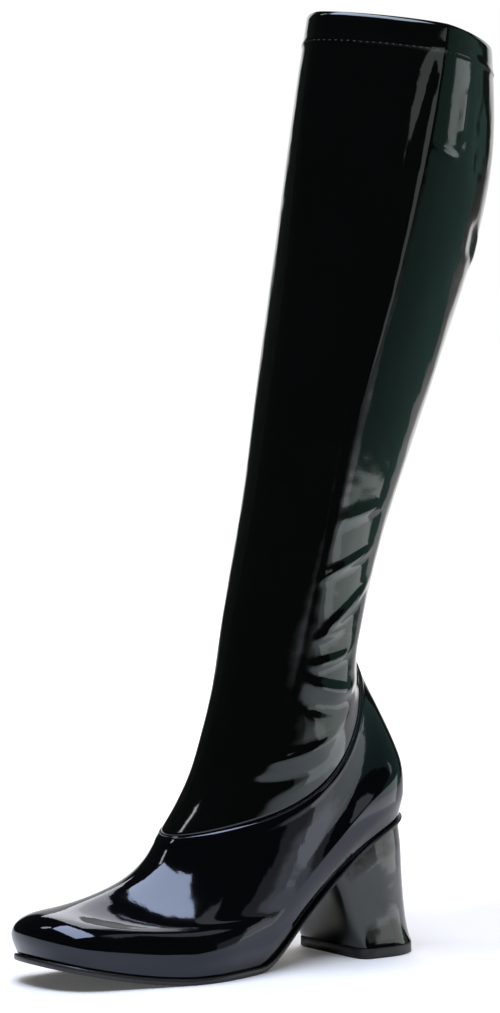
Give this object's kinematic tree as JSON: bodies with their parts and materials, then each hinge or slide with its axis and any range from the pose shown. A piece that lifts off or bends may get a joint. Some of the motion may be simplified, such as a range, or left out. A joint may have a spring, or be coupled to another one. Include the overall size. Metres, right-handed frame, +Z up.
{
  "type": "go-go boot",
  "caption": "Knee-high boot with a closed rounded-square toe, a folded hollow leg, a hemmed rim and a chunky flared block heel.",
  "frame": {"origin": "middle of the heel's ground face, on the floor", "axes": "+Z up along the leg, the toe points along -Y, the outer side of this left boot is +X"},
  "size_m": [0.104, 0.284, 0.479],
  "materials": {
    "foot_patent": "black patent, high gloss",
    "leg_patent": "black stretch patent, high gloss",
    "heel_patent": "black patent cover, high gloss",
    "sole_rubber": "satin",
    "lift_rubber": "matte",
    "footbed": "matte"
  },
  "bodies": {
    "root": {"foot_upper": "foot_patent", "shaft": "leg_patent", "outsole": "sole_rubber", "insole": "footbed", "heel": "heel_patent", "top_lift": "lift_rubber"}
  },
  "joints": []
}
